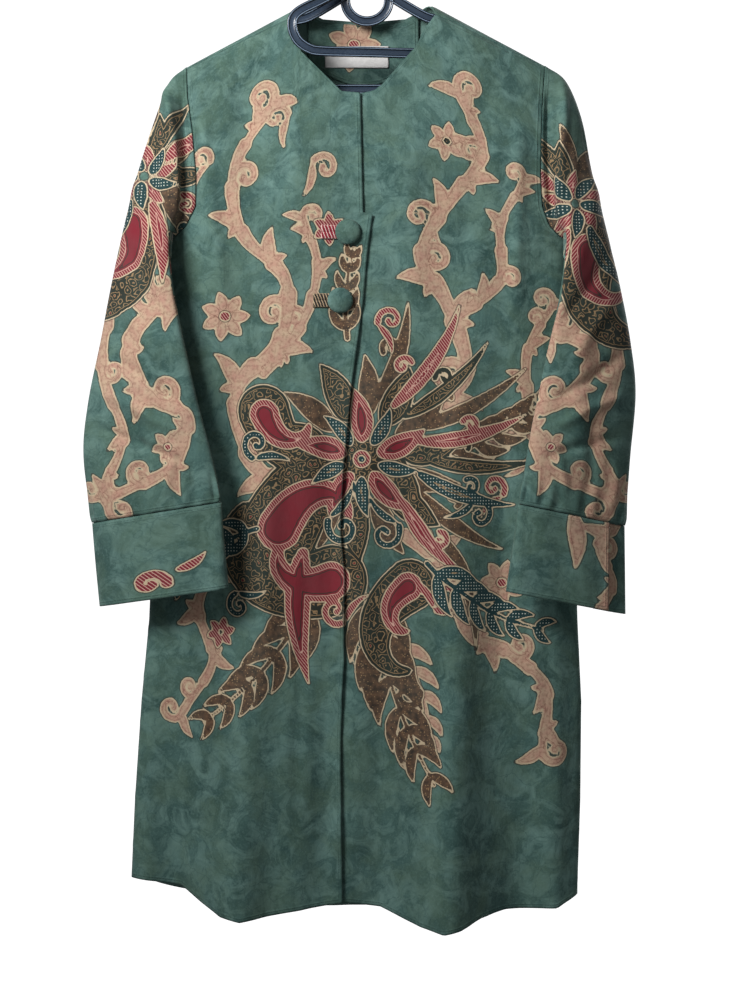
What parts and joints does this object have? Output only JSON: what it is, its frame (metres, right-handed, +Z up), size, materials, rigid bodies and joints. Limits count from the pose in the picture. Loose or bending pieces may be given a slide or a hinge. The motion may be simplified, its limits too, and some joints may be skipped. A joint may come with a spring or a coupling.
{
  "type": "batik tunic on a hanger",
  "caption": "Long-sleeved, collarless batik tunic with a buttoned, overlapping front, hanging on a slim moulded plastic hanger with a fixed hook.",
  "frame": {"origin": "the inside top of the hanger's hook, where it rests on a rail", "axes": "+Z up along the garment's length, -Y out of the garment's front, +X towards the wearer's left"},
  "size_m": [0.5818, 0.1274, 1.061],
  "materials": {
    "batik_cloth": "plain-woven cotton with a mottled green ground and a hand-drawn wax-resist print",
    "button_cloth": "the same cloth, stretched over a domed button",
    "crimson_cloth": "crimson printed cotton with pale fine lines",
    "dark_cloth": "dark printed cotton with tan fine lines",
    "label_satin": "bare white woven satin",
    "hanger_plastic": "slate blue moulded plastic, semi-gloss"
  },
  "bodies": {
    "root": {"hanger": "hanger_plastic", "front_right": "batik_cloth", "front_left": "batik_cloth", "back": "batik_cloth", "sleeve_right": "batik_cloth", "sleeve_left": "batik_cloth", "cuff_right": "batik_cloth", "cuff_left": "batik_cloth", "back_neck_facing": "batik_cloth", "neck_label": "label_satin", "buttonhole_upper": "crimson_cloth", "buttonhole_lower": "dark_cloth", "button_upper": "button_cloth", "button_lower": "button_cloth"}
  },
  "joints": []
}
